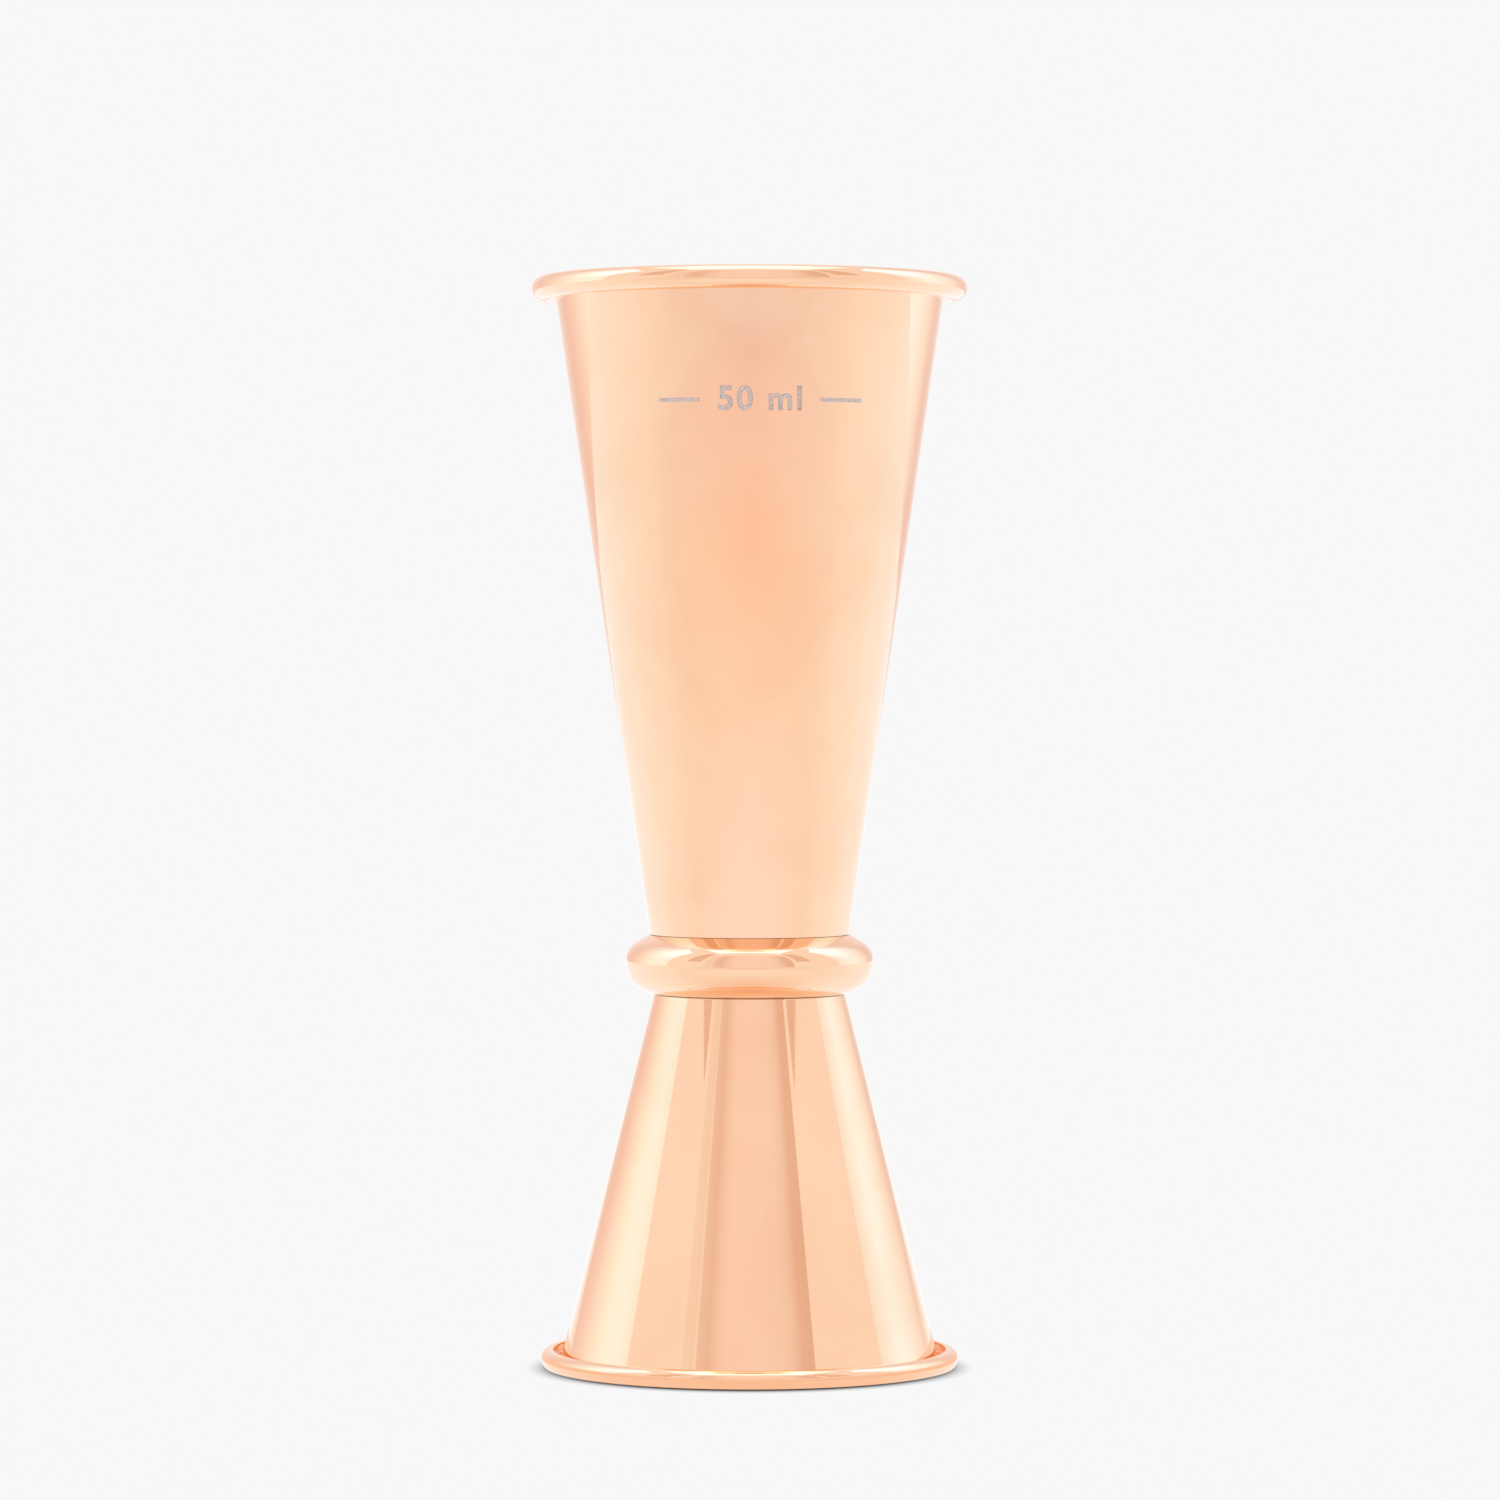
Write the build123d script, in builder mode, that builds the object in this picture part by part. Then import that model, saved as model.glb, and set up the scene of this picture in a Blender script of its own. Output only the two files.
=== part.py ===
from build123d import *
from math import atan, cos, pi, radians, sin, tan
import os

# Double bar jigger: two cone cups of thin sheet, brazed base to base, with a hollow half-round ring caught
# between their flares. It stands on the small cup's rim.
# Millimetres, +Z up, the origin on the axis at the plane that it stands on.
# A cup's cone is given by its outer face, carried on to the base plane (foot) and to the rim plane (mouth).

# Sheet of both cups and of the ring
sheet = 0.7

# Large cup, mouth up
large_height = 72.05
large_foot_radius = 10.09
large_mouth_radius = 20.69
large_corner_radius = 3.5
large_roll_radius = 1.22
large_roll_angle = 262
large_roll_gap = 0.022

# Small cup, mouth down
small_height = 42.8
small_foot_radius = 9.2
small_mouth_radius = 20.15
small_corner_radius = 4.2
small_land = 0.83
small_roll_radius = 1.02
small_roll_angle = 195

# Both rims: the sheet bends out of the wall into a flat land, then rolls round. The large cup's land is as
# long as its roll needs to all but close on the wall. The small cup's roll stops half way round and leaves
# a groove.
mouth_bend_radius = 0.65

# Waist ring: a rounded nose between two sloped sides, which are trimmed to the cups' walls. A slope is in
# degrees from level, and the nose's upper and lower halves have their own radius.
ring_projection = 3.01
ring_upper_radius = 2.4
ring_lower_radius = 3.35
ring_upper_slope = 32
ring_lower_slope = 15
ring_clearance = 0.03

# Braze: a disc between the bases, and a bead inside each edge of the ring
disc_thickness = 0.15
disc_margin = 0.15
bead_width = 0.6
bead_height = 0.5
bead_round = 0.22

# Planes that the pieces meet on
rest_z = 0
small_base_z = rest_z + small_height
large_base_z = small_base_z + disc_thickness
large_mouth_z = large_base_z + large_height
ring_z = small_base_z + disc_thickness / 2


def closing_land(foot_radius, mouth_radius, height, roll_radius, roll_angle, gap):
    """Length of land that leaves this gap between a roll and the wall where it comes nearest."""
    tilt = atan((mouth_radius - foot_radius) / height)
    nearest = min(radians(roll_angle) - tilt, 1.5 * pi)
    to_wall = gap + sheet / 2 - (roll_radius - sheet / 2) * sin(nearest)
    return to_wall / cos(tilt) - roll_radius * tan(tilt)


class Cup:
    """A cup's half sections, from the outer sizes of its cone."""

    def __init__(
        self, base_z, mouth_z, foot_radius, mouth_radius, corner_radius, land, roll_radius, roll_angle
    ):
        self.up = 1 if mouth_z > base_z else -1
        self.base_z = base_z
        self.mouth_z = mouth_z
        self.foot_radius = foot_radius
        self.mouth_radius = mouth_radius
        self.corner_radius = corner_radius
        self.land = land
        self.roll_radius = roll_radius
        self.roll_angle = roll_angle
        self.slope = (mouth_radius - foot_radius) / abs(mouth_z - base_z)
        self.slant = (1 + self.slope**2) ** 0.5
        self.flat_radius = foot_radius + corner_radius * (self.slope - self.slant)

    def corners(self, depth):
        """The cone's corners at the base and at the mouth, on the surface this deep in the sheet."""
        under_land = sheet - depth
        foot_x = self.foot_radius + depth * (self.slope - self.slant)
        mouth_x = self.mouth_radius - under_land * self.slope - depth * self.slant
        foot = (foot_x, self.base_z + self.up * depth)
        mouth = (mouth_x, self.mouth_z - self.up * under_land)
        return foot, mouth

    def wall(self):
        """Half section of the sheet: base, wall, land and roll, its free edge rounded."""
        with BuildSketch() as section:
            with BuildLine():
                rolls = []
                for depth in (0, sheet):
                    foot, mouth = self.corners(depth)
                    land_end = (self.mouth_radius + self.land, mouth[1])
                    FilletPolyline(
                        (0, foot[1]), foot, mouth, land_end,
                        radius=[self.corner_radius - depth, mouth_bend_radius - sheet / 2 + depth],
                    )
                    roll_radius = self.roll_radius - sheet + depth
                    rolls.append(JernArc(land_end, (1, 0), roll_radius, -self.up * self.roll_angle))
                Line((0, self.base_z), (0, self.base_z + self.up * sheet))
                TangentArc(rolls[1] @ 1, rolls[0] @ 1, tangent=rolls[1] % 1)
            make_face()
        return section.sketch

    def outline(self, growth):
        """Half section of the cup as if it were filled, grown all round."""
        foot, mouth = self.corners(-growth)
        with BuildSketch() as section:
            with BuildLine():
                FilletPolyline(
                    (0, foot[1]), foot, mouth, (0, mouth[1]),
                    radius=[0, self.corner_radius + growth, 0, 0], close=True,
                )
            make_face()
        return section.sketch


def ring_outline(inset):
    """Half section of the ring as if it were filled to the axis, with its band's face moved inwards."""
    nose = (max(large_foot_radius, small_foot_radius) + ring_projection - inset, ring_z)
    with BuildSketch() as section:
        with BuildLine():
            ends = []
            for side, radius, slope in (
                (1, ring_upper_radius, ring_upper_slope), (-1, ring_lower_radius, ring_lower_slope)
            ):
                half_nose = JernArc(nose, (0, side), radius - inset, side * (90 - slope))
                inwards = half_nose % 1
                ends.append(Line(half_nose @ 1, half_nose @ 1 - inwards * ((half_nose @ 1).X / inwards.X)))
            Line(ends[0] @ 1, ends[1] @ 1)
        make_face()
    return section.sketch


def bead_section(cup):
    """Half section of the filler in the corner between the ring's inside and a cup's wall."""
    with BuildSketch() as section:
        add(ring_outline(sheet))
        add(cup.outline(bead_width), mode=Mode.INTERSECT)
        add(cup.outline(0), mode=Mode.SUBTRACT)
        edge = section.vertices().sort_by(Axis.Y)[-1 if cup.up > 0 else 0]
        with Locations((0, edge.Y)):
            Rectangle(2 * large_mouth_radius, 2 * bead_height, mode=Mode.INTERSECT)
        far_side = section.vertices().group_by(Axis.Y)[0 if cup.up > 0 else -1]
        corner = far_side.sort_by(Axis.X)[-1]
        sides = [side for side in section.edges() if corner in side.vertices()]
        leads = [side.center() - Vector(corner) for side in sides]
        room = min(side.length for side in sides) * tan(radians(leads[0].get_angle(leads[1]) / 2))
        fillet(corner, radius=min(bead_round, 0.8 * room))
    return section.sketch


large_land = closing_land(
    large_foot_radius, large_mouth_radius, large_height, large_roll_radius, large_roll_angle, large_roll_gap
)
large = Cup(
    large_base_z, large_mouth_z, large_foot_radius, large_mouth_radius,
    large_corner_radius, large_land, large_roll_radius, large_roll_angle,
)
small = Cup(
    small_base_z, rest_z, small_foot_radius, small_mouth_radius,
    small_corner_radius, small_land, small_roll_radius, small_roll_angle,
)

os.makedirs("parts", exist_ok=True)

with BuildPart() as large_cup:
    with BuildSketch(Plane.XZ):
        add(large.wall())
    revolve(axis=Axis.Z)
large_cup.part.label = "large_cup"
export_step(large_cup.part, "parts/large_cup.step")

with BuildPart() as small_cup:
    with BuildSketch(Plane.XZ):
        add(small.wall())
    revolve(axis=Axis.Z)
small_cup.part.label = "small_cup"
export_step(small_cup.part, "parts/small_cup.step")

with BuildPart() as waist_ring:
    with BuildSketch(Plane.XZ):
        add(ring_outline(0))
        add(ring_outline(sheet), mode=Mode.SUBTRACT)
        for cup in (large, small):
            add(cup.outline(ring_clearance), mode=Mode.SUBTRACT)
    revolve(axis=Axis.Z)
waist_ring.part.label = "waist_ring"
export_step(waist_ring.part, "parts/waist_ring.step")

with BuildPart() as base_braze_disc:
    with BuildSketch(Plane.XY.offset(small_base_z)):
        Circle(min(large.flat_radius, small.flat_radius) - disc_margin)
    extrude(amount=disc_thickness)
base_braze_disc.part.label = "base_braze_disc"
export_step(base_braze_disc.part, "parts/base_braze_disc.step")

with BuildPart() as upper_ring_braze:
    with BuildSketch(Plane.XZ):
        add(bead_section(large))
    revolve(axis=Axis.Z)
upper_ring_braze.part.label = "upper_ring_braze"
export_step(upper_ring_braze.part, "parts/upper_ring_braze.step")

with BuildPart() as lower_ring_braze:
    with BuildSketch(Plane.XZ):
        add(bead_section(small))
    revolve(axis=Axis.Z)
lower_ring_braze.part.label = "lower_ring_braze"
export_step(lower_ring_braze.part, "parts/lower_ring_braze.step")
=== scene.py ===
import math

import bpy
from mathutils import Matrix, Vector


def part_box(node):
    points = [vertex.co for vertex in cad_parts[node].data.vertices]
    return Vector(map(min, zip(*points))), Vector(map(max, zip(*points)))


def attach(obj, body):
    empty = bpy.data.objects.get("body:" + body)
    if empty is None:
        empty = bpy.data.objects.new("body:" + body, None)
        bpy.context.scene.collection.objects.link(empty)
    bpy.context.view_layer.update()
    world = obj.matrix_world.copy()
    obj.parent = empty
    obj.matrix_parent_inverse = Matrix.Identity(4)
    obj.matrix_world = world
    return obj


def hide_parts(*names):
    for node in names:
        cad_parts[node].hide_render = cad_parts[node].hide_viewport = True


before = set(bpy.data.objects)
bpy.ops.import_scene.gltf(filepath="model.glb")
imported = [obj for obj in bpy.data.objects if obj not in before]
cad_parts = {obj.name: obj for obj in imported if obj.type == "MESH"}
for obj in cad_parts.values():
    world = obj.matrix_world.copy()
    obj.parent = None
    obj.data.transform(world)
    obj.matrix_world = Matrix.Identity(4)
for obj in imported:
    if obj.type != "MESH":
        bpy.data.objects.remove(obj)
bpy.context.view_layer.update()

ROOT = "root"


# --------------------------------------------------------------------------------------------------
# Large cup
# A tall cone spun from one disc of 0.7 mm stainless sheet. Its base is rounded into the wall, and its rim is
# bent out flat and rolled over until it all but closes on the wall. It is buffed to a mirror and plated with
# copper.

SHEET = 0.0007
SEGMENTS = 256
LARGE_FOOT = 0.01009
LARGE_MOUTH = 0.02069
LARGE_CORNER = 0.0035
LARGE_LAND = 0.00104
LARGE_ROLL = 0.00122
LARGE_ROLL_TURN = math.radians(262)
MOUTH_BEND = 0.00065
EDGE_ROUND = 0.0003
# How close a point that holds the shading sits to the end of a straight run
SUPPORT = 0.0002
# Vertices nearer than this are one vertex
WELD = 1e-7


def arc(centre, radius, start, end, steps):
    """Points (r, z) along an arc about centre, from angle start to angle end."""
    turns = [start + (end - start) * i / steps for i in range(steps + 1)]
    return [(centre[0] + radius * math.cos(a), centre[1] + radius * math.sin(a)) for a in turns]


def run(start, end, steps):
    """Points (r, z) along a straight run, with one close to each end to hold the shading there."""
    length = math.dist(start, end)
    shares = [SUPPORT / length] + [i / steps for i in range(1, steps)] + [1 - SUPPORT / length]
    return [(start[0] + (end[0] - start[0]) * s, start[1] + (end[1] - start[1]) * s) for s in shares]


def cup_profile(base_z, mouth_z, foot, mouth, corner, land, roll, roll_turn):
    """Middle of a cup's sheet as points (r, z), from the edge of its flat base to its roll's free edge."""
    height = abs(mouth_z - base_z)
    slope = (mouth - foot) / height
    tilt = math.atan(slope)
    half = SHEET / 2
    # Worked out for a cup with its base at height 0 and its mouth up, then put in place
    corner_centre = (foot + corner * (slope - 1 / math.cos(tilt)), corner)
    corner_arc = arc(corner_centre, corner - half, -math.pi / 2, -tilt, 24)
    land_height = height - half
    mouth_line = mouth - half / math.cos(tilt) - half * slope
    reach = MOUTH_BEND * math.tan((math.pi / 2 - tilt) / 2)
    bend_centre = (mouth_line + reach, land_height - MOUTH_BEND)
    bend_arc = arc(bend_centre, MOUTH_BEND, math.pi - tilt, math.pi / 2, 12)
    roll_centre = (mouth + land, land_height - roll + half)
    roll_arc = arc(roll_centre, roll - half, math.pi / 2, math.pi / 2 - roll_turn, 56)
    wall = run(corner_arc[-1], bend_arc[0], 8)
    flat = run(bend_arc[-1], roll_arc[0], 3)
    up = 1 if mouth_z > base_z else -1
    return [(r, base_z + up * h) for r, h in corner_arc + wall + bend_arc + flat + roll_arc]


def spin_shell(name, profile, closed):
    """Draws a profile out round the axis, ring by ring, as a thin shell; closed fills its first ring."""
    radius, height = profile[0]
    bpy.ops.object.select_all(action="DESELECT")
    bpy.ops.mesh.primitive_circle_add(
        vertices=SEGMENTS, radius=radius, fill_type="TRIFAN" if closed else "NOTHING",
        location=(0, 0, height),
    )
    shell = bpy.context.object
    shell.name = shell.data.name = name
    bpy.ops.object.transform_apply()
    bpy.ops.object.mode_set(mode="EDIT")
    bpy.ops.mesh.select_all(action="SELECT")
    if closed:
        bpy.ops.mesh.region_to_loop()
    for next_radius, next_height in profile[1:]:
        rise = (0, 0, next_height - height)
        bpy.ops.mesh.extrude_edges_move(TRANSFORM_OT_translate={"value": rise})
        share = next_radius / radius
        bpy.ops.transform.resize(value=(share, share, 1), center_override=(0, 0, next_height))
        radius, height = next_radius, next_height
    bpy.ops.mesh.select_all(action="SELECT")
    bpy.ops.mesh.remove_doubles(threshold=WELD)
    bpy.ops.mesh.normals_make_consistent(inside=False)
    bpy.ops.object.mode_set(mode="OBJECT")
    return shell


def give_thickness(shell, edge_round):
    """Gives the shell the sheet's thickness, rounds its cut edges and smooths it."""
    wall = shell.modifiers.new("sheet", "SOLIDIFY")
    wall.thickness = SHEET
    wall.offset = 0
    wall.use_even_offset = True
    edge = shell.modifiers.new("cut_edge", "BEVEL")
    edge.width = edge_round
    edge.segments = 4
    edge.limit_method = "ANGLE"
    edge.angle_limit = math.radians(60)
    for modifier in ("sheet", "cut_edge"):
        bpy.ops.object.modifier_apply(modifier=modifier)
    bpy.ops.object.shade_smooth_by_angle(angle=math.radians(50))


def finish_piece(piece, node, material):
    """Dresses a spun piece with its material and lets it stand for its CAD node."""
    piece.data.materials.append(material)
    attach(piece, ROOT)
    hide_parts(node)


large_low, large_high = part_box("large_cup")
large_cup = spin_shell(
    "large_cup_spun",
    cup_profile(
        large_low.z, large_high.z, LARGE_FOOT, LARGE_MOUTH,
        LARGE_CORNER, LARGE_LAND, LARGE_ROLL, LARGE_ROLL_TURN,
    ),
    closed=True,
)
give_thickness(large_cup, EDGE_ROUND)


def effect_group(name, inputs, outputs):
    """A shader node group with named number sockets; returns its tree and its two end nodes."""
    tree = bpy.data.node_groups.new(name, "ShaderNodeTree")
    for label, value in inputs.items():
        socket = tree.interface.new_socket(label, in_out="INPUT", socket_type="NodeSocketFloat")
        socket.default_value = value
    for label in outputs:
        tree.interface.new_socket(label, in_out="OUTPUT", socket_type="NodeSocketFloat")
    return tree, tree.nodes.new("NodeGroupInput"), tree.nodes.new("NodeGroupOutput")


def add_math(tree, operation, first, second, clamp=False):
    """A Math node on two values, each a socket or a number; returns its output."""
    node = tree.nodes.new("ShaderNodeMath")
    node.operation = operation
    node.use_clamp = clamp
    for socket, value in zip(node.inputs, (first, second)):
        if isinstance(value, (int, float)):
            socket.default_value = value
        else:
            tree.links.new(value, socket)
    return node.outputs["Value"]


def add_range(tree, value, from_min, from_max, to_min=0.0, to_max=1.0):
    """A smooth, clamped Map Range of a value; returns its output."""
    node = tree.nodes.new("ShaderNodeMapRange")
    node.interpolation_type = "SMOOTHSTEP"
    limits = {"From Min": from_min, "From Max": from_max, "To Min": to_min, "To Max": to_max}
    for label, number in limits.items():
        node.inputs[label].default_value = number
    tree.links.new(value, node.inputs["Value"])
    return node.outputs["Result"]


# Buffing lines: the piece turns on the lathe while it is polished, so they run round it. Height is their
# relief.
turning, entry, leave = effect_group("turning_lines", {"Spacing": 0.0003}, ["Height"])
place = turning.nodes.new("ShaderNodeTexCoord")
split = turning.nodes.new("ShaderNodeSeparateXYZ")
across = turning.nodes.new("ShaderNodeCombineXYZ")
radius = turning.nodes.new("ShaderNodeVectorMath")
radius.operation = "LENGTH"
turning.links.new(place.outputs["Object"], split.inputs["Vector"])
for axis in "XY":
    turning.links.new(split.outputs[axis], across.inputs[axis])
turning.links.new(across.outputs["Vector"], radius.inputs[0])
along = add_math(turning, "ADD", split.outputs["Z"], radius.outputs["Value"])
lines = turning.nodes.new("ShaderNodeTexNoise")
lines.noise_dimensions = "1D"
lines.inputs["Scale"].default_value = 1
lines.inputs["Detail"].default_value = 3
lines.inputs["Roughness"].default_value = 0.6
turning.links.new(add_math(turning, "DIVIDE", along, entry.outputs["Spacing"]), lines.inputs["W"])
turning.links.new(lines.outputs["Fac"], leave.inputs["Height"])

# Handling: faint clouds from wiping by hand, and hairlines from cloths and the drawer. Both are masks from
# 0 to 1.
handling, entry, leave = effect_group(
    "handling_marks", {"Cloud Size": 0.02, "Hairline Amount": 0.5}, ["Cloud", "Hairline"]
)
place = handling.nodes.new("ShaderNodeTexCoord")
scaled = handling.nodes.new("ShaderNodeVectorMath")
scaled.operation = "SCALE"
handling.links.new(place.outputs["Object"], scaled.inputs["Vector"])
handling.links.new(add_math(handling, "DIVIDE", 1.0, entry.outputs["Cloud Size"]), scaled.inputs["Scale"])
cloud = handling.nodes.new("ShaderNodeTexNoise")
cloud.inputs["Scale"].default_value = 1
cloud.inputs["Detail"].default_value = 5
cloud.inputs["Roughness"].default_value = 0.55
cloud.inputs["Distortion"].default_value = 0.6
handling.links.new(scaled.outputs["Vector"], cloud.inputs["Vector"])
handling.links.new(add_range(handling, cloud.outputs["Fac"], 0.42, 0.68), leave.inputs["Cloud"])
hairlines = []
for turn, length_scale in ((0.35, 60), (-0.8, 45), (1.25, 80)):
    drawn = handling.nodes.new("ShaderNodeMapping")
    drawn.inputs["Rotation"].default_value = (turn, turn * 0.7, turn)
    drawn.inputs["Scale"].default_value = (length_scale, length_scale, 5000)
    handling.links.new(place.outputs["Object"], drawn.inputs["Vector"])
    strand = handling.nodes.new("ShaderNodeTexNoise")
    strand.inputs["Scale"].default_value = 1
    strand.inputs["Detail"].default_value = 0
    handling.links.new(drawn.outputs["Vector"], strand.inputs["Vector"])
    hairlines.append(add_range(handling, strand.outputs["Fac"], 0.74, 0.8))
both = add_math(handling, "MAXIMUM", hairlines[0], hairlines[1])
every = add_math(handling, "MAXIMUM", both, hairlines[2])
drawn_on = add_math(handling, "MULTIPLY", every, entry.outputs["Hairline Amount"])
handling.links.new(drawn_on, leave.inputs["Hairline"])

# Scuffs on the two rims, where the jigger stands
scuffing, entry, leave = effect_group("rim_scuffs", {"Depth": 0.0002, "Top": 0.115}, ["Scuff"])
place = scuffing.nodes.new("ShaderNodeTexCoord")
split = scuffing.nodes.new("ShaderNodeSeparateXYZ")
scuffing.links.new(place.outputs["Object"], split.inputs["Vector"])
below_top = add_math(scuffing, "SUBTRACT", entry.outputs["Top"], split.outputs["Z"])
nearest = add_math(scuffing, "MINIMUM", below_top, split.outputs["Z"])
clear_of_rim = add_math(scuffing, "DIVIDE", nearest, entry.outputs["Depth"], clamp=True)
grit = scuffing.nodes.new("ShaderNodeTexNoise")
grit.inputs["Scale"].default_value = 2500
grit.inputs["Detail"].default_value = 4
scuffing.links.new(place.outputs["Object"], grit.inputs["Vector"])
touched = add_math(scuffing, "SUBTRACT", 1.0, clear_of_rim)
gritty = add_range(scuffing, grit.outputs["Fac"], 0.4, 0.65)
scuffing.links.new(add_math(scuffing, "MULTIPLY", touched, gritty), leave.inputs["Scuff"])

COPPER = (0.985, 0.685, 0.475)
COPPER_DEEP = (0.965, 0.645, 0.435)
# Roughness of the bare polish, and what clouds, hairlines and scuffs add to it
POLISH = 0.015
CLOUD_DULL = 0.02
HAIRLINE_DULL = 0.08
SCUFF_DULL = 0.3
# Relief of the buffing lines and of the marks, in metres
TURNED_RELIEF = 1.2e-7
MARKS_RELIEF = 1e-6
# Dark brown painted into the seams as painted shade, and how far and how strongly its occlusion mask reaches
SEAM_SHADE_PAINT = (0.2, 0.085, 0.035)
SEAM_REACH = 0.0003
SEAM_DARK = 0.45
SEAM_UNSHADED = 0.72
DEEP_BOUNCE = 2.5
DEEP_GLOW = (0.9, 0.5, 0.3)

copper = bpy.data.materials.new("polished_copper_plate")
copper.use_nodes = True
tree = copper.node_tree
shader = tree.nodes["Principled BSDF"]
shader.inputs["Metallic"].default_value = 1


def place_group(tree, group, values):
    """Puts an effect group in a material with its own values; returns the node."""
    node = tree.nodes.new("ShaderNodeGroup")
    node.node_tree = group
    for label, value in values.items():
        node.inputs[label].default_value = value
    return node


marks = place_group(tree, handling, {"Cloud Size": 0.016, "Hairline Amount": 0.6})
turned = place_group(tree, turning, {"Spacing": 0.0003})
scuffs = place_group(tree, scuffing, {"Depth": 0.00015, "Top": large_high.z})
tint = tree.nodes.new("ShaderNodeMix")
tint.data_type = "RGBA"
tint.inputs[6].default_value = (*COPPER, 1)
tint.inputs[7].default_value = (*COPPER_DEEP, 1)
tree.links.new(marks.outputs["Cloud"], tint.inputs["Factor"])
# Painted shade: the base colour turns dark brown in seams and crevices, wherever ambient occlusion finds the
# surface shut in. This includes where the rim stands on the floor.
seam = tree.nodes.new("ShaderNodeAmbientOcclusion")
seam.inputs["Distance"].default_value = SEAM_REACH
seam_shaded = tree.nodes.new("ShaderNodeMix")
seam_shaded.data_type = "RGBA"
seam_shaded.inputs[7].default_value = (*SEAM_SHADE_PAINT, 1)
painted_seam_shade_mask = add_range(tree, seam.outputs["AO"], SEAM_DARK, SEAM_UNSHADED, 1, 0)
tree.links.new(painted_seam_shade_mask, seam_shaded.inputs["Factor"])
tree.links.new(tint.outputs[2], seam_shaded.inputs[6])
tree.links.new(seam_shaded.outputs[2], shader.inputs["Base Color"])
cloudy = add_math(tree, "MULTIPLY_ADD", marks.outputs["Cloud"], CLOUD_DULL)
cloudy.node.inputs[2].default_value = POLISH
haired = add_math(tree, "MULTIPLY", marks.outputs["Hairline"], HAIRLINE_DULL)
scuffed = add_math(tree, "MULTIPLY", scuffs.outputs["Scuff"], SCUFF_DULL)
dulled = add_math(tree, "ADD", cloudy, haired)
tree.links.new(add_math(tree, "ADD", dulled, scuffed), shader.inputs["Roughness"])
fine = tree.nodes.new("ShaderNodeBump")
fine.inputs["Strength"].default_value = 1
fine.inputs["Distance"].default_value = TURNED_RELIEF
tree.links.new(turned.outputs["Height"], fine.inputs["Height"])
cut = tree.nodes.new("ShaderNodeBump")
cut.invert = True
cut.inputs["Strength"].default_value = 1
cut.inputs["Distance"].default_value = MARKS_RELIEF
tree.links.new(add_math(tree, "ADD", haired, scuffed), cut.inputs["Height"])
tree.links.new(fine.outputs["Normal"], cut.inputs["Normal"])
tree.links.new(cut.outputs["Normal"], shader.inputs["Normal"])
# Deep in a cup a ray bounces more often than it is followed. There it ends in the glow of lit copper.
path = tree.nodes.new("ShaderNodeLightPath")
deep = tree.nodes.new("ShaderNodeEmission")
deep.inputs["Color"].default_value = (*DEEP_GLOW, 1)
ends = tree.nodes.new("ShaderNodeMixShader")
is_deep = add_math(tree, "GREATER_THAN", path.outputs["Ray Depth"], DEEP_BOUNCE)
tree.links.new(is_deep, ends.inputs["Fac"])
tree.links.new(shader.outputs["BSDF"], ends.inputs[1])
tree.links.new(deep.outputs["Emission"], ends.inputs[2])
tree.links.new(ends.outputs["Shader"], tree.nodes["Material Output"].inputs["Surface"])
finish_piece(large_cup, "large_cup", copper)


# --------------------------------------------------------------------------------------------------
# Small cup
# The shorter and wider cone, spun the same way. Its roll stops half way round and leaves a groove. The
# jigger stands on it.

SMALL_FOOT = 0.0092
SMALL_MOUTH = 0.02015
SMALL_CORNER = 0.0042
SMALL_LAND = 0.00083
SMALL_ROLL = 0.00102
SMALL_ROLL_TURN = math.radians(195)

small_low, small_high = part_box("small_cup")
small_cup = spin_shell(
    "small_cup_spun",
    cup_profile(
        small_high.z, small_low.z, SMALL_FOOT, SMALL_MOUTH,
        SMALL_CORNER, SMALL_LAND, SMALL_ROLL, SMALL_ROLL_TURN,
    ),
    closed=True,
)
give_thickness(small_cup, EDGE_ROUND)
finish_piece(small_cup, "small_cup", copper)


# --------------------------------------------------------------------------------------------------
# Waist ring
# A band of the same sheet, rolled to a rounded nose between two sloped sides. It is caught between the flares
# of the two cups, and its edges sit on their walls.

RING_PROFILE = 0.0131
RING_MIDDLE = 0.042875
# Upper and lower half: which way it goes from the middle, the nose's radius and the side's slope
RING_HALVES = ((1, 0.0024, math.radians(32)), (-1, 0.00335, math.radians(15)))
RING_EDGE_ROUND = 0.00015

ring_low, ring_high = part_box("waist_ring")
halves = []
for side, nose, slope in RING_HALVES:
    centre = (RING_PROFILE - nose, RING_MIDDLE)
    bend = arc(centre, nose - SHEET / 2, 0, side * (math.pi / 2 - slope), 30)
    edge_height = (ring_high.z if side > 0 else ring_low.z) - side * SHEET / 2 * math.cos(slope)
    last = bend[-1]
    edge = (last[0] - (edge_height - last[1]) / (side * math.tan(slope)), edge_height)
    halves.append(bend + [edge])
waist_ring = spin_shell("waist_ring_rolled", halves[0][::-1] + halves[1][1:], closed=False)
give_thickness(waist_ring, RING_EDGE_ROUND)
finish_piece(waist_ring, "waist_ring", copper)


# --------------------------------------------------------------------------------------------------
# Braze
# The silver filler that joins the two bases, and a bead of it inside each edge of the ring. It is pale, dull
# and a little pitted where it set.

SILVER = (0.8, 0.75, 0.62)
SILVER_DULL = (0.58, 0.53, 0.43)

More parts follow.
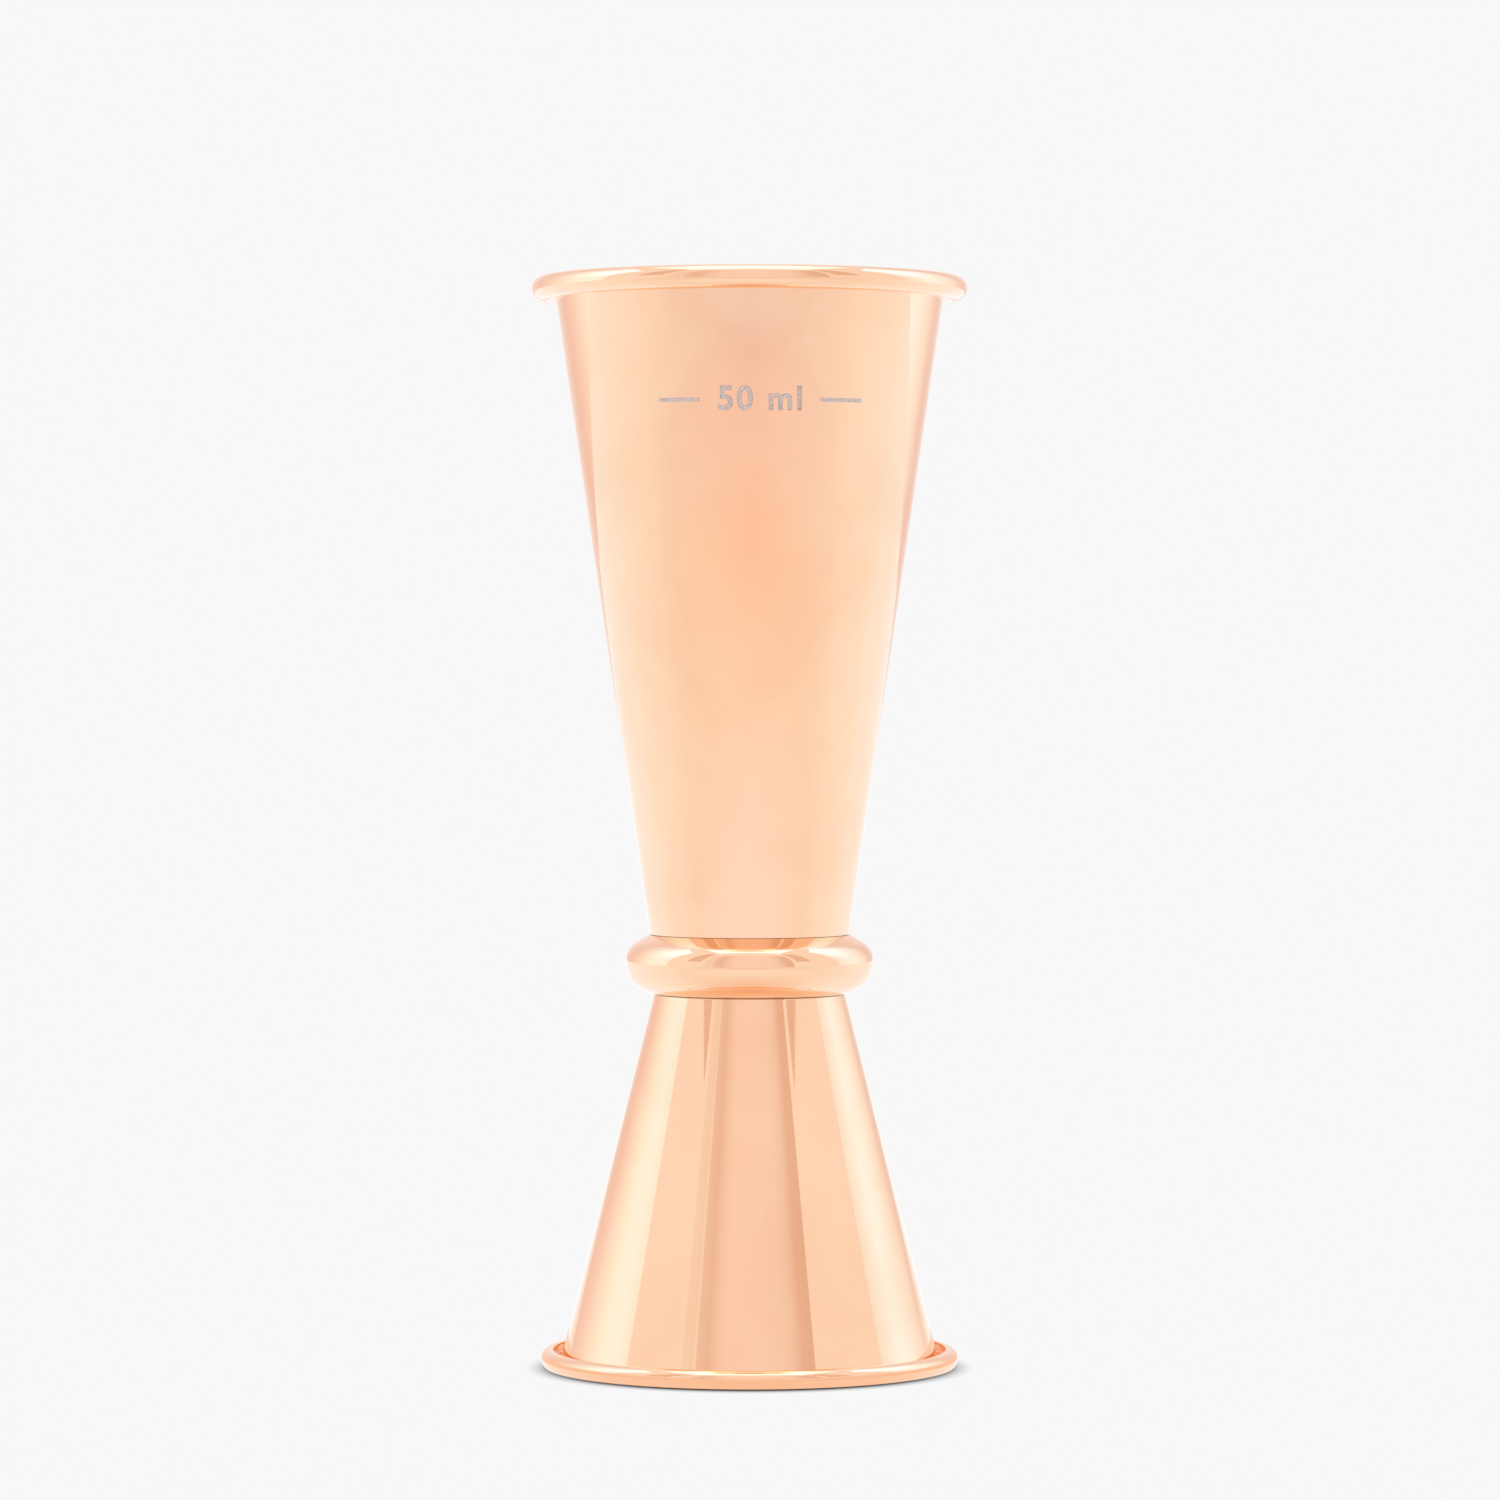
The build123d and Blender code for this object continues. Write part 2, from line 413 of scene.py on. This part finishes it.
braze = bpy.data.materials.new("set_silver_braze")
braze.use_nodes = True
tree = braze.node_tree
shader = tree.nodes["Principled BSDF"]
shader.inputs["Metallic"].default_value = 1
marks = place_group(tree, handling, {"Cloud Size": 0.0012, "Hairline Amount": 0.0})
tint = tree.nodes.new("ShaderNodeMix")
tint.data_type = "RGBA"
tint.inputs[6].default_value = (*SILVER, 1)
tint.inputs[7].default_value = (*SILVER_DULL, 1)
tree.links.new(marks.outputs["Cloud"], tint.inputs["Factor"])
tree.links.new(tint.outputs[2], shader.inputs["Base Color"])
tree.links.new(add_range(tree, marks.outputs["Cloud"], 0, 1, 0.28, 0.5), shader.inputs["Roughness"])
pits = tree.nodes.new("ShaderNodeBump")
pits.inputs["Distance"].default_value = 0.00003
tree.links.new(marks.outputs["Cloud"], pits.inputs["Height"])
tree.links.new(pits.outputs["Normal"], shader.inputs["Normal"])
for node in ("base_braze_disc", "upper_ring_braze", "lower_ring_braze"):
    for material_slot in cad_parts[node].material_slots:
        material_slot.material = braze


# --------------------------------------------------------------------------------------------------
# Etched mark
# The capacity, etched through the copper of the large cup's front between two short rules. It is a skin on
# the wall with a stippled grey face.

MARK_TEXT = "50 ml"
MARK_MIDDLE = (0.0011, 0.1014)
MARK_CAP_HEIGHT = 0.0024
CAP_SHARE = 0.7
MARK_STROKE = 0.00008
RULE_LENGTH = 0.0042
RULE_HEIGHT = 0.0004
RULE_OFFSET = 0.0083
MARK_THICKNESS = 0.00004
CURVE_STEP = 0.0004

middle_x, middle_z = MARK_MIDDLE
bpy.ops.object.select_all(action="DESELECT")
bpy.ops.object.text_add(location=(0, 0, 0))
mark = bpy.context.object
mark.name = "capacity_mark"
mark.data.body = MARK_TEXT
mark.data.align_x = "CENTER"
mark.data.align_y = "CENTER"
mark.data.size = MARK_CAP_HEIGHT / CAP_SHARE
mark.data.offset = MARK_STROKE
mark.data.space_character = 1.15
mark.data.resolution_u = 6
bpy.ops.object.convert(target="MESH")
mark = bpy.context.object
bpy.ops.object.mode_set(mode="EDIT")
for side in (-1, 1):
    rule_middle = (side * RULE_OFFSET, 0, 0)
    bpy.ops.mesh.primitive_plane_add(size=1, location=rule_middle)
    bpy.ops.transform.resize(value=(RULE_LENGTH, RULE_HEIGHT, 1), center_override=rule_middle)
bpy.ops.object.mode_set(mode="OBJECT")
mark.rotation_euler = (math.pi / 2, 0, 0)
mark.location = (middle_x, -1.5 * LARGE_MOUTH, middle_z)
bpy.ops.object.transform_apply()
bpy.ops.object.mode_set(mode="EDIT")
bpy.ops.mesh.select_all(action="SELECT")
bpy.ops.mesh.remove_doubles(threshold=WELD)
reach = RULE_OFFSET + RULE_LENGTH
for i in range(1, int(2 * reach / CURVE_STEP)):
    bpy.ops.mesh.select_all(action="SELECT")
    bpy.ops.mesh.bisect(plane_co=(middle_x - reach + i * CURVE_STEP, 0, 0), plane_no=(1, 0, 0))
bpy.ops.mesh.select_all(action="SELECT")
bpy.ops.mesh.dissolve_degenerate(threshold=WELD)
bpy.ops.object.mode_set(mode="OBJECT")
wrap = mark.modifiers.new("lay_on_wall", "SHRINKWRAP")
wrap.target = large_cup
wrap.wrap_method = "PROJECT"
wrap.use_project_y = True
skin = mark.modifiers.new("skin", "SOLIDIFY")
skin.thickness = MARK_THICKNESS
skin.offset = 0
for modifier in ("lay_on_wall", "skin"):
    bpy.ops.object.modifier_apply(modifier=modifier)

ETCHED = (0.5, 0.41, 0.39)
ETCHED_PALE = (0.7, 0.6, 0.57)

etched = bpy.data.materials.new("etched_copper")
etched.use_nodes = True
tree = etched.node_tree
shader = tree.nodes["Principled BSDF"]
shader.inputs["Metallic"].default_value = 0.25
place = tree.nodes.new("ShaderNodeTexCoord")
stipple = tree.nodes.new("ShaderNodeTexNoise")
stipple.inputs["Scale"].default_value = 6500
stipple.inputs["Detail"].default_value = 2
tree.links.new(place.outputs["Object"], stipple.inputs["Vector"])
grain = add_range(tree, stipple.outputs["Fac"], 0.36, 0.64)
tint = tree.nodes.new("ShaderNodeMix")
tint.data_type = "RGBA"
tint.inputs[6].default_value = (*ETCHED, 1)
tint.inputs[7].default_value = (*ETCHED_PALE, 1)
tree.links.new(grain, tint.inputs["Factor"])
tree.links.new(tint.outputs[2], shader.inputs["Base Color"])
dull = add_range(tree, stipple.outputs["Fac"], 0.3, 0.7, 0.4, 0.65)
tree.links.new(dull, shader.inputs["Roughness"])
pits = tree.nodes.new("ShaderNodeBump")
pits.inputs["Distance"].default_value = 0.00001
tree.links.new(grain, pits.inputs["Height"])
tree.links.new(pits.outputs["Normal"], shader.inputs["Normal"])
mark.data.materials.append(etched)
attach(mark, ROOT)


# --------------------------------------------------------------------------------------------------
# Floor and backdrop
# Pale paper that reads the same white everywhere, with only a thin shadow where the rim touches it.

PAPER = 0.9387
PAPER_SIZE = 12
CONTACT_REACH = 0.0019
CONTACT_DARK = 0.22
ROOM = (1.02, 0.96, 0.94)

bpy.ops.object.select_all(action="DESELECT")
bpy.ops.mesh.primitive_plane_add(size=PAPER_SIZE, location=(0, 0, 0))
floor = bpy.context.object
floor.name = "floor"
paper = bpy.data.materials.new("pale_paper")
paper.use_nodes = True
tree = paper.node_tree
tree.nodes.clear()
out = tree.nodes.new("ShaderNodeOutputMaterial")
glow = tree.nodes.new("ShaderNodeEmission")
contact = tree.nodes.new("ShaderNodeAmbientOcclusion")
contact.inputs["Distance"].default_value = CONTACT_REACH
shade = tree.nodes.new("ShaderNodeMapRange")
shade.inputs["To Min"].default_value = PAPER * CONTACT_DARK
shade.inputs["To Max"].default_value = PAPER
tree.links.new(contact.outputs["AO"], shade.inputs["Value"])
tree.links.new(shade.outputs["Result"], glow.inputs["Strength"])
# Clear from below, so that the rim it stands on can be seen
beneath = tree.nodes.new("ShaderNodeNewGeometry")
clear = tree.nodes.new("ShaderNodeBsdfTransparent")
either = tree.nodes.new("ShaderNodeMixShader")
tree.links.new(beneath.outputs["Backfacing"], either.inputs["Fac"])
tree.links.new(glow.outputs["Emission"], either.inputs[1])
tree.links.new(clear.outputs["BSDF"], either.inputs[2])
tree.links.new(either.outputs["Shader"], out.inputs["Surface"])
floor.data.materials.append(paper)

# The room is the paper's white behind the jigger, and slightly warmer in the metal
world = bpy.data.worlds.new("pale_room")
bpy.context.scene.world = world
world.use_nodes = True
tree = world.node_tree
seen = tree.nodes["Background"]
seen.inputs["Color"].default_value = (PAPER, PAPER, PAPER, 1)
mirrored = tree.nodes.new("ShaderNodeBackground")
mirrored.inputs["Color"].default_value = (*ROOM, 1)
path = tree.nodes.new("ShaderNodeLightPath")
either = tree.nodes.new("ShaderNodeMixShader")
tree.links.new(path.outputs["Is Camera Ray"], either.inputs["Fac"])
tree.links.new(mirrored.outputs["Background"], either.inputs[1])
tree.links.new(seen.outputs["Background"], either.inputs[2])
tree.links.new(either.outputs["Shader"], tree.nodes["World Output"].inputs["Surface"])


# --------------------------------------------------------------------------------------------------
# Light cards
# Upright panels round the jigger that only the metal sees. Across runs from a card's left edge to its right
# one as seen from the jigger, and up from its lower edge to its upper one.


def colour_ramp(tree, value, stops):
    """A colour ramp of a value with the given (place, colour) stops; returns its output."""
    ramp = tree.nodes.new("ShaderNodeValToRGB")
    points = ramp.color_ramp.elements
    while len(points) < len(stops):
        points.new(0.5)
    for point, (spot, colour) in zip(points, stops):
        point.position = spot
        point.color = (*colour, 1)
    tree.links.new(value, ramp.inputs["Fac"])
    return ramp.outputs["Color"]


def glowing_paper(name):
    """A material that only glows; returns it, its tree and its Emission node."""
    material = bpy.data.materials.new(name)
    material.use_nodes = True
    tree = material.node_tree
    tree.nodes.clear()
    out = tree.nodes.new("ShaderNodeOutputMaterial")
    glow = tree.nodes.new("ShaderNodeEmission")
    tree.links.new(glow.outputs["Emission"], out.inputs["Surface"])
    return material, tree, glow


def only_in_metal(piece):
    """Lets reflections see a piece of the stage, and nothing else."""
    piece.visible_camera = False
    piece.visible_diffuse = False
    piece.visible_shadow = False


def light_card(name, from_azimuth, to_azimuth, distance, low, high, across, up):
    """A flat panel square to the axis. Azimuth is in degrees from the camera's side towards +X."""
    middle = math.radians((from_azimuth + to_azimuth) / 2)
    half = math.radians((to_azimuth - from_azimuth) / 2)
    bpy.ops.object.select_all(action="DESELECT")
    bpy.ops.mesh.primitive_plane_add(size=1)
    card = bpy.context.object
    card.name = name
    card.scale = (2 * distance * math.tan(half), high - low, 1)
    card.rotation_euler = (math.pi / 2, 0, middle)
    card.location = (distance * math.sin(middle), -distance * math.cos(middle), (low + high) / 2)
    glowing, tree, glow = glowing_paper(name)
    place = tree.nodes.new("ShaderNodeTexCoord")
    centred = tree.nodes.new("ShaderNodeMapping")
    centred.inputs["Location"].default_value = (0.5, 0.5, 0)
    split = tree.nodes.new("ShaderNodeSeparateXYZ")
    both = tree.nodes.new("ShaderNodeMix")
    both.data_type = "RGBA"
    both.blend_type = "MULTIPLY"
    both.inputs["Factor"].default_value = 1
    tree.links.new(place.outputs["Object"], centred.inputs["Vector"])
    tree.links.new(centred.outputs["Vector"], split.inputs["Vector"])
    tree.links.new(colour_ramp(tree, split.outputs["X"], across), both.inputs[6])
    tree.links.new(colour_ramp(tree, split.outputs["Y"], up), both.inputs[7])
    tree.links.new(both.outputs[2], glow.inputs["Color"])
    card.data.materials.append(glowing)
    only_in_metal(card)


EVEN = [(0, (1, 1, 1)), (1, (1, 1, 1))]
BRIGHTER_UP = [(0, (1, 1, 1)), (0.2, (1, 1, 1)), (0.55, (1, 1.22, 1.4)), (1, (1, 1.25, 1.45))]
FLAG = [(0, (0.86, 0.66, 0.57)), (1, (0.86, 0.66, 0.57))]

light_card("front_screen", -44, 42, 0.9, 0.0, 1.5, [
    (0, (1.0, 0.95, 0.94)), (0.03, (0.97, 0.84, 0.78)), (0.05, (0.98, 0.88, 0.84)),
    (0.12, (0.96, 0.84, 0.79)), (0.14, (1.0, 0.94, 0.94)), (0.155, (0.9, 0.74, 0.68)),
    (0.24, (0.88, 0.68, 0.6)), (0.31, (0.95, 0.8, 0.76)), (0.38, (1.0, 0.87, 0.86)),
    (0.6, (1.0, 0.88, 0.87)), (0.72, (0.97, 0.86, 0.84)), (0.8, (0.94, 0.79, 0.76)),
    (0.88, (0.85, 0.65, 0.57)), (1, (0.83, 0.63, 0.55)),
], EVEN)
light_card("left_softbox", -149, -82, 0.8, 0.03, 1.4, [
    (0, (0.92, 0.75, 0.72)), (0.07, (0.92, 0.75, 0.72)), (0.2, (0.98, 0.8, 0.78)), (0.3, (1.0, 0.89, 0.87)),
    (0.37, (1.0, 0.98, 0.98)), (0.45, (1.02, 1.06, 1.06)), (0.59, (1.02, 1.22, 1.26)),
    (0.71, (1.02, 1.27, 1.38)), (0.83, (1.02, 1.27, 1.42)), (0.95, (1.02, 1.21, 1.28)),
    (1, (1.02, 1.18, 1.24)),
], BRIGHTER_UP)
light_card("right_softbox", 90, 152, 0.8, 0.03, 1.4, [
    (0, (1.0, 1.1, 1.16)), (0.16, (1.02, 1.2, 1.34)), (0.3, (1.02, 1.3, 1.5)), (0.42, (1.02, 1.27, 1.44)),
    (0.55, (1.02, 1.18, 1.28)), (0.72, (1.02, 1.02, 1.04)), (0.88, (0.94, 0.82, 0.8)),
    (1, (0.9, 0.74, 0.72)),
], BRIGHTER_UP)
light_card("left_flag", -62, -47, 0.8, 0.358, 1.4, FLAG, EVEN)
light_card("right_flag", 46, 61, 0.8, 0.358, 1.4, FLAG, EVEN)
light_card("back_screen", 152, 211, 0.95, 0.03, 1.2, [
    (0, (0.9, 0.74, 0.72)), (0.5, (1.0, 0.9, 0.88)), (1, (0.92, 0.75, 0.72)),
], EVEN)

# Table top as the tall cone mirrors it: it darkens away from the jigger in front, and stays bright to the
# sides
TABLE_RADIUS = 3
TABLE_LIFT = 0.0002

bpy.ops.object.select_all(action="DESELECT")
bpy.ops.mesh.primitive_circle_add(
    vertices=64, radius=TABLE_RADIUS, fill_type="NGON", location=(0, 0, TABLE_LIFT)
)
table = bpy.context.object
table.name = "table_in_metal"
bpy.ops.object.transform_apply()
table_top, tree, glow = glowing_paper("table_in_metal")
place = tree.nodes.new("ShaderNodeTexCoord")
split = tree.nodes.new("ShaderNodeSeparateXYZ")
distance = tree.nodes.new("ShaderNodeVectorMath")
distance.operation = "LENGTH"
tree.links.new(place.outputs["Object"], split.inputs["Vector"])
tree.links.new(place.outputs["Object"], distance.inputs[0])
# -1 straight towards the camera and +1 straight away from it, brought to 0 and 1
behind = add_math(tree, "DIVIDE", split.outputs["Y"], distance.outputs["Value"])
behind = add_math(tree, "MULTIPLY_ADD", behind, 0.5)
behind.node.inputs[2].default_value = 0.5
# Close round the foot the table is painted darker and warmer: painted shade and copper bounce, as the rim
# mirrors it
ahead = colour_ramp(tree, distance.outputs["Value"], [
    (0.022, (0.97, 0.74, 0.6)), (0.035, (0.97, 0.78, 0.66)), (0.08, (1.0, 0.94, 0.9)),
    (0.15, (1.02, 1.0, 1.03)), (0.176, (1.02, 0.99, 1.02)), (0.21, (1.02, 0.95, 0.94)),
    (0.247, (1.02, 0.91, 0.85)), (0.287, (1.01, 0.84, 0.75)), (0.331, (1.01, 0.79, 0.68)),
    (0.379, (0.98, 0.81, 0.79)), (0.426, (0.96, 0.79, 0.79)), (0.457, (0.92, 0.76, 0.76)),
    (0.48, (0.92, 0.84, 0.85)),
])
aside = colour_ramp(tree, behind, [
    (0, (1.0, 0.94, 0.9)), (0.25, (1.0, 0.95, 0.92)), (0.36, (1.02, 1.0, 0.99)), (0.5, (1.02, 1.04, 1.05)),
    (0.6, (1.02, 1.07, 1.1)), (0.71, (1.02, 1.11, 1.19)), (1, (1.02, 1.11, 1.19)),
])
share = colour_ramp(tree, behind, [
    (0, (0, 0, 0)), (0.01, (0.12, 0.12, 0.12)), (0.04, (0.28, 0.28, 0.28)), (0.09, (0.4, 0.4, 0.4)),
    (0.16, (0.58, 0.58, 0.58)), (0.25, (0.9, 0.9, 0.9)), (0.32, (1, 1, 1)),
])
both = tree.nodes.new("ShaderNodeMix")
both.data_type = "RGBA"
tree.links.new(share, both.inputs["Factor"])
tree.links.new(ahead, both.inputs[6])
tree.links.new(aside, both.inputs[7])
tree.links.new(both.outputs[2], glow.inputs["Color"])
table.data.materials.append(table_top)
only_in_metal(table)

# A low warm strip round the foot, seen only in the rim that it stands on: a glowing sheet of painted shade
# and painted copper bounce, standing in for the dark warm region near the foot
STRIP_RADIUS = 0.026
STRIP_HEIGHT = 0.003

bpy.ops.object.select_all(action="DESELECT")
bpy.ops.mesh.primitive_cylinder_add(
    vertices=96, radius=STRIP_RADIUS, depth=STRIP_HEIGHT, end_fill_type="NOTHING",
    location=(0, 0, STRIP_HEIGHT / 2),
)
strip = bpy.context.object
strip.name = "foot_shade_strip"
foot_shade_glow, tree, glow = glowing_paper("foot_shade_strip")
place = tree.nodes.new("ShaderNodeTexCoord")
split = tree.nodes.new("ShaderNodeSeparateXYZ")
tree.links.new(place.outputs["Object"], split.inputs["Vector"])
rise = add_math(tree, "DIVIDE", split.outputs["Z"], STRIP_HEIGHT)
rise = add_math(tree, "ADD", rise, 0.5)
# Painted shade: darker and warmer low down, a little lighter towards the strip's top
painted_foot_shade = colour_ramp(tree, rise, [(0, (0.97, 0.74, 0.6)), (1, (1.0, 0.78, 0.66))])
tree.links.new(painted_foot_shade, glow.inputs["Color"])
strip.data.materials.append(foot_shade_glow)
only_in_metal(strip)

# Soft overhead light
OVERHEAD_SIZE = 0.9
OVERHEAD_LEVEL = 1.1
OVERHEAD_PLACE = (0, 0.1, 1.3)

overhead_data = bpy.data.lights.new("overhead_softbox", "AREA")
overhead_data.shape = "SQUARE"
overhead_data.size = OVERHEAD_SIZE
overhead_data.energy = OVERHEAD_LEVEL * math.pi * OVERHEAD_SIZE**2
overhead = bpy.data.objects.new("overhead_softbox", overhead_data)
bpy.context.scene.collection.objects.link(overhead)
overhead.location = OVERHEAD_PLACE


# --------------------------------------------------------------------------------------------------
# Camera
# It looks a little down on the small cup's rim and a little up at the large cup's.

CAMERA_DISTANCE = 0.65
CAMERA_HEIGHT = 0.0749
AIM = Vector((0.00005, 0, 0.0652))
FRAME_WIDTH = 0.1582

camera_data = bpy.data.cameras.new("camera")
camera = bpy.data.objects.new("camera", camera_data)
bpy.context.scene.collection.objects.link(camera)
camera.location = (0, -CAMERA_DISTANCE, CAMERA_HEIGHT)
sight = AIM - camera.location
camera.rotation_euler = sight.to_track_quat("-Z", "Y").to_euler()
camera_data.sensor_width = 36
camera_data.lens = camera_data.sensor_width * sight.length / FRAME_WIDTH
camera_data.clip_start = 0.01
bpy.context.scene.camera = camera
bpy.context.scene.view_settings.view_transform = "Standard"
